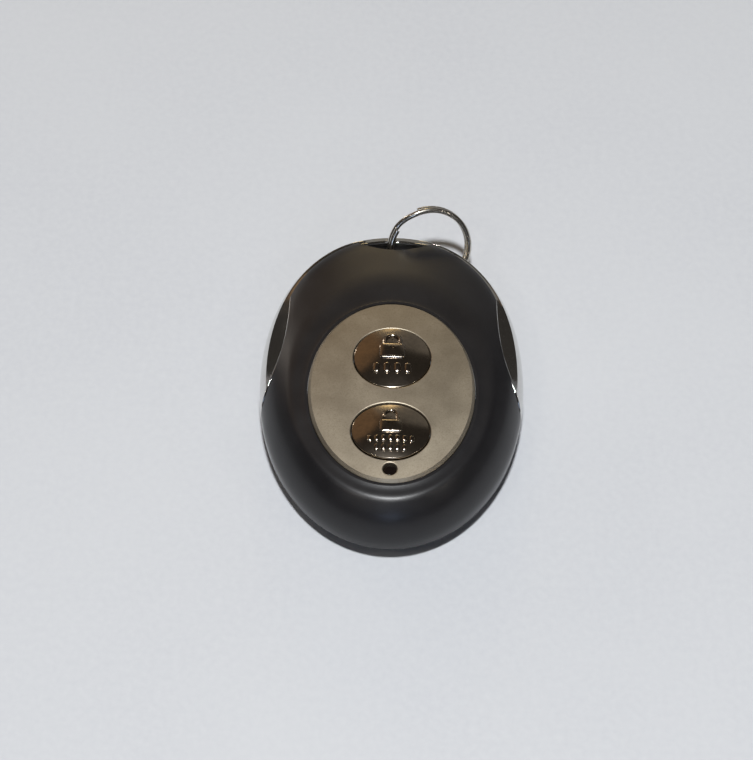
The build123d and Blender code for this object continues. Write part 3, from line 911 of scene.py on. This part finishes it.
@dataclass
class Trim:
    """Chrome frame with the rolled bead along its seam, face plate and window of the status light.

    Attributes:
        frame_node: CAD node of the chrome frame.
        plate: CAD node of the face plate.
        window: CAD node of the window.
        bead_radius: radius of the bead.
        bead_resolution: fineness of the bead's round section.
        bead_sharp_angle: angle in degrees over which an edge of the bead stays sharp.
        bead_draw_in: scale of the bead along X, Y and Z, which draws it in to the fob.
        bead_drop: how far the bead is lowered where the key ring lies on the bar.
        bead_drop_spread: distance over which the lowering fades out.
        ring_rest_x: where the key ring lies on the bar, along X.
        ring_rest_reach: how far to each side the bead has its full drop.
        weld: distance under which corners of the frame's copy are merged.
        sharp_angle: angle in degrees from which an edge of the frame may be followed.
        skin_outward: least that the outer of an edge's two faces points outwards.
        seam_outward: most that the inner one points outwards at the seam.
        seam_lean: most that the inner one leans at the seam.
        crease_outward: least that the inner one points outwards at the crease of the ring end.
        foot_height: height over which the seam lies.
        crease_start: place along Y and Z past which the crease lies.
        shade_sheet_centre_y: centre of the ring end's outline, about which the dark sheet is spun.
        shade_sheet_radii: inner and outer radius of the dark sheet.
        shade_sheet_heights: foot and top of the dark sheet.
        shade_sheet_slant: how far the dark sheet's foot stands out towards the ring end.
        shade_sheet_half_angle: half of the angle in degrees that the dark sheet spans.
        shade_sheet_steps: facets along the dark sheet.
    """

    frame_node: str = "chrome_frame"
    plate: str = "face_plate"
    window: str = "light_pipe"
    bead_radius: float = 0.17 * MM
    bead_resolution: int = 3
    bead_sharp_angle: float = 60.0
    bead_draw_in: tuple[float, float, float] = (0.993, 0.996, 1.0)
    bead_drop: float = 0.34 * MM
    bead_drop_spread: float = 6.0 * MM
    ring_rest_x: float = -0.6 * MM
    ring_rest_reach: float = 1.6 * MM
    weld: float = 0.002 * MM
    sharp_angle: float = 24.0
    skin_outward: float = 0.25
    seam_outward: float = 0.3
    seam_lean: float = 0.08
    crease_outward: float = 0.2
    foot_height: float = 3.6 * MM
    crease_start: Vector = field(default_factory=lambda: Vector((0, 15.0, 8.2)) * MM)
    shade_sheet_centre_y: float = 11.6 * MM
    shade_sheet_radii: tuple[float, float] = (18.95 * MM, 19.4 * MM)
    shade_sheet_heights: tuple[float, float] = (2.6 * MM, 8.3 * MM)
    shade_sheet_slant: float = 1.05 * MM
    shade_sheet_half_angle: float = 20.0
    shade_sheet_steps: int = 24

    def build(self) -> None:
        """Makes the bead and the dark sheet of painted shade under the bar, and dresses the trim."""
        dress([self.frame_node], BRIGHT_CHROME)
        dress([self.plate], SATIN_SILVER)
        # The window's near-black colour is painted shade of the hole it sits in
        dress([self.window], SHADE_DARKENED_PC)
        self.bead()
        self.shade_sheet()

    def shade_sheet(self) -> None:
        """Makes a black sheet under the bar, spun about the centre of the ring end: painted shade
        that darkens the slot between the bar and the cover.
        """
        clear_selection()
        inner, outer = self.shade_sheet_radii
        low, high = self.shade_sheet_heights
        centre_z = (low + high) / 2
        bpy.ops.mesh.primitive_plane_add(
            size=1,
            location=(0, self.shade_sheet_centre_y + (inner + outer) / 2, centre_z),
            rotation=(0, math.pi / 2, 0),
        )
        shade_sheet = bpy.context.object
        shade_sheet.name = "bar_shade_sheet"
        shade_sheet.scale = (high - low, outer - inner, 1)
        apply_place()
        bpy.ops.object.mode_set(mode="EDIT")
        pick(
            shade_sheet,
            "EDGE",
            lambda middle, direction: abs(direction.y) > ROUGHLY and middle.z < centre_z,
        )
        bpy.ops.transform.translate(value=(0, self.shade_sheet_slant, 0))
        bpy.ops.mesh.select_all(action="SELECT")
        centre = (0, self.shade_sheet_centre_y, 0)
        half = math.radians(self.shade_sheet_half_angle)
        bpy.ops.transform.rotate(value=half, orient_axis="Z", center_override=centre)
        bpy.ops.mesh.spin(steps=self.shade_sheet_steps, angle=-2 * half, center=centre, axis=(0, 0, 1))
        bpy.ops.mesh.select_all(action="SELECT")
        bpy.ops.mesh.normals_make_consistent(inside=False)
        bpy.ops.object.mode_set(mode="OBJECT")
        finish_piece(shade_sheet, "case", SOFT_TOUCH)

    def is_past_crease(self, place: Vector) -> bool:
        """Says whether a place is on the ring end's side of the crease's start, and above it."""
        return place.y > self.crease_start.y and place.z > self.crease_start.z

    def seam_edges(self, copy: bpy.types.Object) -> int:
        """Selects the edges where the outside of the frame meets the seam.

        Args:
            copy: welded copy of the frame in edit mode.

        Returns:
            How many edges are selected.
        """
        bpy.ops.mesh.select_mode(type="EDGE")
        bpy.ops.mesh.select_all(action="DESELECT")
        mesh = bmesh.from_edit_mesh(copy.data)
        sharp_turn = math.radians(self.sharp_angle)
        count = 0
        for edge in mesh.edges:
            if len(edge.link_faces) != 2 or edge.calc_face_angle() < sharp_turn:
                continue
            middle = (edge.verts[0].co + edge.verts[1].co) / 2
            away = Vector((middle.x, middle.y, 0)).normalized()
            wall, skin = sorted(edge.link_faces, key=lambda face: face.normal.dot(away))
            outward = wall.normal.dot(away)
            on_seam = (
                abs(wall.normal.z) < self.seam_lean
                and outward < self.seam_outward
                and middle.z > self.foot_height
            )
            on_crease = outward > self.crease_outward and self.is_past_crease(middle)
            if skin.normal.dot(away) > self.skin_outward and (on_seam or on_crease):
                edge.select_set(True)
                count += 1
        bmesh.update_edit_mesh(copy.data)
        return count

    def lower_bead(self, copy: bpy.types.Object) -> None:
        """Lowers the bead's line where the key ring lies over it, fading out to both sides.

        Args:
            copy: the line of the bead in edit mode.
        """
        pick(
            copy,
            "EDGE",
            lambda middle, _: self.is_past_crease(middle)
            and abs(middle.x - self.ring_rest_x) < self.ring_rest_reach,
        )
        bpy.ops.transform.translate(
            value=(0, 0, -self.bead_drop),
            use_proportional_edit=True,
            proportional_edit_falloff="SMOOTH",
            proportional_size=self.bead_drop_spread,
        )

    def bead(self) -> None:
        """Makes the thin rolled bead from the seam's own edges."""
        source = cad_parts[self.frame_node]
        copy = source.copy()
        copy.data = source.data.copy()
        bpy.context.collection.objects.link(copy)
        select_only(copy)
        bpy.ops.object.mode_set(mode="EDIT")
        bpy.ops.mesh.select_all(action="SELECT")
        bpy.ops.mesh.remove_doubles(threshold=self.weld)
        bpy.ops.mesh.normals_make_consistent(inside=False)
        log.info("bead follows %d edges", self.seam_edges(copy))
        bpy.ops.mesh.select_all(action="INVERT")
        bpy.ops.mesh.delete(type="EDGE")
        bpy.ops.mesh.select_all(action="SELECT")
        bpy.ops.transform.resize(value=self.bead_draw_in, center_override=(0, 0, 0))
        self.lower_bead(copy)
        bpy.ops.object.mode_set(mode="OBJECT")
        bpy.ops.object.convert(target="CURVE")
        copy.data.bevel_depth = self.bead_radius
        copy.data.bevel_resolution = self.bead_resolution
        copy.data.use_fill_caps = True
        bpy.ops.object.convert(target="MESH")
        bead = bpy.context.object
        bead.name = "frame_bead"
        finish_piece(bead, "case", BRIGHT_CHROME, self.bead_sharp_angle)


@dataclass
class KeyRing:
    """The split ring."""

    node: str = "key_ring"

    def build(self) -> None:
        """Dresses the ring."""
        dress([self.node], SPRING_STEEL)


@dataclass
class SnapDome:
    """The thin steel dome of a switch, which flattens as its button goes down.

    Attributes:
        switch: name of the switch.
        thickness: thickness of the steel.
        rim_trim: how far the rim stays above the floor of its well.
        kept_share: share of the dome's height that is left when it is pressed; not used.
        segments: facets round the dome.
        rings: rings of facets in the whole sphere that the dome is cut from.
    """

    switch: str
    thickness: float = 0.1 * MM
    rim_trim: float = 0.15 * MM
    kept_share: float = 0.2
    segments: int = 48
    rings: int = 64

    def build(self) -> None:
        """Makes the dome in the place of its CAD node, which it hides."""
        node = f"{self.switch}_switch_dome"
        low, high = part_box(node)
        middle = (low + high) / 2
        reach, rise = (high.x - low.x) / 2, high.z - low.z
        radius = (reach**2 + rise**2) / rise / 2
        clear_selection()
        bpy.ops.mesh.primitive_uv_sphere_add(
            segments=self.segments,
            ring_count=self.rings,
            radius=radius,
            location=(middle.x, middle.y, high.z - radius),
        )
        dome = bpy.context.object
        dome.name = f"{self.switch}_snap_dome"
        bpy.ops.object.mode_set(mode="EDIT")
        bpy.ops.mesh.select_all(action="SELECT")
        bpy.ops.mesh.bisect(
            plane_co=(0, 0, low.z + self.rim_trim), plane_no=(0, 0, 1), clear_inner=True
        )
        bpy.ops.object.mode_set(mode="OBJECT")
        apply_modifier(dome, "SOLIDIFY", thickness=self.thickness, offset=-1.0)
        finish_piece(dome, "case", SNAP_STEEL)
        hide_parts(node)
        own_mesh(dome)


@dataclass
class Electronics:
    """Board, switches and the parts soldered to the board."""

    switches: tuple[str, ...] = ("lock", "unlock")

    def build(self) -> None:
        """Dresses the board and what it carries, and makes the snap domes of its switches."""
        dress(["circuit_board"], GREEN_BOARD)
        dress(["antenna_loop"], COPPER)
        for switch in self.switches:
            dress([f"{switch}_switch_body"], SWITCH_NYLON)
            dress([f"{switch}_switch_cover"], TIN_PLATE)
            SnapDome(switch).build()
            dress([f"{switch}_switch_plunger"], WHITE_ACETAL)
        dress(["status_led"], WHITE_ACETAL)
        dress(["encoder_chip", "rf_transistor", "chip_resistors"], CHIP_EPOXY)
        dress(["saw_resonator"], TIN_PLATE)
        dress(["chip_capacitors"], CERAMIC)


@dataclass
class CoinCell:
    """The coin cell and its contacts."""

    def build(self) -> None:
        """Dresses the cell and the contacts."""
        dress(["battery_can", "battery_cap"], CELL_STEEL)
        dress(["battery_gasket"], GASKET_NYLON)
        dress(["battery_contact", "battery_clip"], NICKEL_STRIP)


@dataclass
class PhotoCamera:
    """The camera at the photograph's angle, which puts one point of the fob on one pixel.

    Attributes:
        target: point of the fob that the camera turns about.
        target_pixel: where it lies in the photograph, from the left and from the top.
        elevation: angle in degrees above the table.
        distance: from the target to the camera.
        focal_pixels: focal length in pixels of the photograph.
        roll: turn in degrees about the line of sight.
        sensor: width of the sensor in millimetres, as Blender counts it.
        clip: nearest and furthest distance that the camera shows.
    """

    target: Vector = field(default_factory=lambda: Vector((0, -5.9, 13.0)) * MM)
    target_pixel: tuple[float, float] = (391.5, 392.0)
    elevation: float = 52.0
    distance: float = 453 * MM
    focal_pixels: float = 2768.0
    roll: float = 1.2
    sensor: float = 36.0
    clip: tuple[float, float] = (10 * MM, 10.0)

    def build(self) -> None:
        """Places the camera and makes it the scene's own."""
        camera = bpy.data.cameras.new("photo_camera")
        camera.sensor_width = self.sensor
        camera.lens = self.focal_pixels * self.sensor / PHOTO_HEIGHT
        camera.shift_x = (PHOTO_WIDTH / 2 - self.target_pixel[0]) / PHOTO_HEIGHT
        camera.shift_y = (self.target_pixel[1] - PHOTO_HEIGHT / 2) / PHOTO_HEIGHT
        camera.clip_start, camera.clip_end = self.clip
        rig = bpy.data.objects.new("photo_camera", camera)
        bpy.context.scene.collection.objects.link(rig)
        lift = math.radians(self.elevation)
        back = Vector((0, -math.cos(lift), math.sin(lift)))
        level = back.to_track_quat("Z", "Y").to_matrix()
        turn = level @ Matrix.Rotation(math.radians(self.roll), 3, "Z")
        rig.matrix_world = Matrix.Translation(self.target + back * self.distance) @ turn.to_4x4()
        bpy.context.scene.camera = rig
        log.info("camera at %s", tuple(round(v, 4) for v in rig.location))


@dataclass(frozen=True)
class SoftLight:
    """A round soft light that faces the fob.

    Attributes:
        name: what it stands for.
        place: its middle, in metres.
        width: its width across, in metres.
        power: its power in watts.
        colour: its colour, sRGB hex.
    """

    name: str
    place: tuple[float, float, float]
    width: float
    power: float
    colour: str

    def build(self) -> None:
        """Adds the light and turns it to the fob."""
        light = bpy.data.lights.new(self.name, "AREA")
        light.shape = "DISK"
        light.size = self.width
        light.energy = self.power
        light.color = linear(self.colour)[:3]
        lamp = bpy.data.objects.new(self.name, light)
        bpy.context.scene.collection.objects.link(lamp)
        lamp.location = self.place
        lamp.rotation_euler = Vector(self.place).to_track_quat("Z", "Y").to_euler()
        log.info("lit %s", self.name)


@dataclass
class Studio:
    """Pale table, soft key light, and the panels and lamps that the chrome reflects.

    Attributes:
        table_size: width of the table.
        table_cuts: cuts across the table, which keep its faces small.
        table_drop: gap under the fob, so that no two faces share one place.
        key_distance: from the fob to the key light.
        key_tilt: angle in degrees from straight above to the key light, towards the nose.
        key_width: width of the key light, which sets how soft the shadow is.
        key_power: power of the key light in watts.
        key_colour: colour of the key light, sRGB hex.
        room_colour: colour of the room's plain light, sRGB hex.
        room_strength: strength of the room's plain light.
        fills: the other lights.
    """

    table_size: float = 3.0
    table_cuts: int = 8
    table_drop: float = 0.01 * MM
    key_distance: float = 0.9
    key_tilt: float = 13.0
    key_width: float = 0.10
    key_power: float = 9.2
    key_colour: str = "#fbfdff"
    room_colour: str = "#383532"
    room_strength: float = 1.0
    fills: tuple[SoftLight, ...] = (
        SoftLight("warm_wall", (-0.72, 1.00, 0.80), 1.3, 1.0, "#ffcb94"),
        SoftLight("far_wall", (0.35, 1.35, 0.60), 1.2, 0.9, "#dedad2"),
        SoftLight("warm_lamp", (-0.04, 1.30, 0.46), 0.24, 0.85, "#ffe2a8"),
        SoftLight("window", (0.05, -1.3, 0.55), 0.48, 1.5, "#c8dcff"),
        SoftLight("spot_left", (-0.42, -0.42, 0.70), 0.055, 0.42, "#fff6ea"),
        SoftLight("spot_right", (0.62, -0.30, 0.55), 0.055, 0.30, "#fff6ea"),
        SoftLight("spot_rear", (-0.60, 0.72, 0.25), 0.08, 0.45, "#fff6ea"),
    )

    def table(self) -> None:
        """Makes the table."""
        clear_selection()
        bpy.ops.mesh.primitive_plane_add(size=self.table_size, location=(0, 0, -self.table_drop))
        table = bpy.context.object
        table.name = "table"
        bpy.ops.object.mode_set(mode="EDIT")
        bpy.ops.mesh.subdivide(number_cuts=self.table_cuts)
        bpy.ops.object.mode_set(mode="OBJECT")
        table.data.materials.append(TABLE_LAMINATE.build())
        log.info("made %s", table.name)

    def key(self) -> SoftLight:
        """Works out the key light.

        Returns:
            The light, which stands above the fob and a little before its nose.
        """
        tilt = Vector((0, -math.tan(math.radians(self.key_tilt)), 1))
        place = tuple(tilt.normalized() * self.key_distance)
        return SoftLight("key_panel", place, self.key_width, self.key_power, self.key_colour)

    def room(self) -> None:
        """Sets the plain light of the room."""
        world = bpy.data.worlds.new("room")
        world.use_nodes = True
        tree = world.node_tree
        tree.nodes.clear()
        light = add_node(
            tree,
            "ShaderNodeBackground",
            inputs={"Color": linear(self.room_colour), "Strength": self.room_strength},
        )
        add_node(tree, "ShaderNodeOutputWorld", inputs={"Surface": light.outputs["Background"]})
        bpy.context.scene.world = world

    def build(self) -> None:
        """Makes the table, the lights and the room."""
        self.table()
        for light in (self.key(), *self.fills):
            light.build()
        self.room()
        bpy.context.scene.view_settings.view_transform = "Standard"


def main() -> None:
    """Builds the fob's sub-assemblies in order, then the camera and the studio."""
    logging.basicConfig(level=logging.INFO, format="%(name)s: %(message)s")
    lock = PushButton(
        node="lock_button",
        body="lock_button_body",
        pictogram=Pictogram.CLOSED,
        pip_rows=((4, -2.6 * MM),),
        pip_width=1.15 * MM,
        pip_length=2.0 * MM,
        pip_pitch=1.75 * MM,
    )
    unlock = PushButton(
        node="unlock_button",
        body="unlock_button_body",
        pictogram=Pictogram.OPEN,
        pip_rows=((7, -1.95 * MM), (5, -3.65 * MM)),
        pip_width=0.8 * MM,
        pip_length=1.2 * MM,
        pip_pitch=1.15 * MM,
        edge_round=0.11 * MM,
        lock_width=3.7 * MM,
        lock_length=2.5 * MM,
        lock_offset=0.5 * MM,
        shackle_radius=1.1 * MM,
        shackle_wire=0.34 * MM,
    )
    assemblies = (Housing(), Trim(), lock, unlock, KeyRing(), Electronics(), CoinCell())
    for assembly in (*assemblies, PhotoCamera(), Studio()):
        assembly.build()
        log.info("built %s", type(assembly).__name__)


if __name__ == "__main__":
    main()
